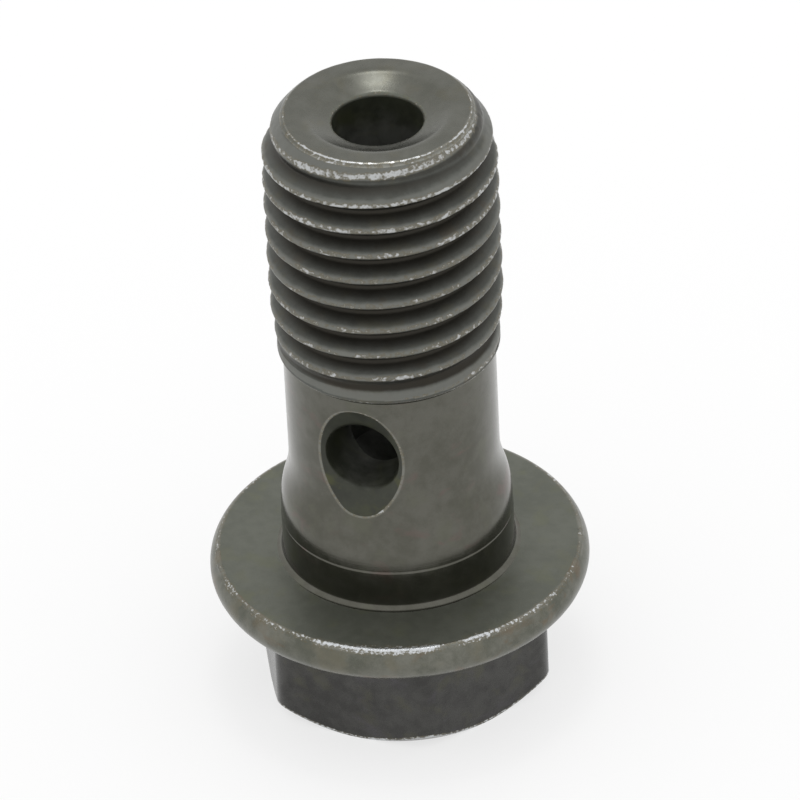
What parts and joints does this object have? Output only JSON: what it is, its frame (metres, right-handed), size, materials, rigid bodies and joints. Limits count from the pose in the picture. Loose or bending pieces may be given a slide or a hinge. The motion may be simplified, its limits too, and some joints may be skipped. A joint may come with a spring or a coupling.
{
  "type": "banjo bolt",
  "caption": "Hollow flanged hex bolt for a banjo fitting: axial bore from the threaded end, countersunk cross hole in a waisted neck, centring collar.",
  "frame": {"origin": "centre of the hex head's end face, on the bolt's axis", "axes": "+Z along the shank towards the threaded end, -Y out of one end of the cross hole"},
  "size_m": [0.0162, 0.0162, 0.0284],
  "materials": {
    "oxide_steel": "worn black oxide over polished steel, olive grey, brighter on thread crests and edges"
  },
  "bodies": {
    "root": {"banjo_bolt": "oxide_steel"}
  },
  "joints": []
}
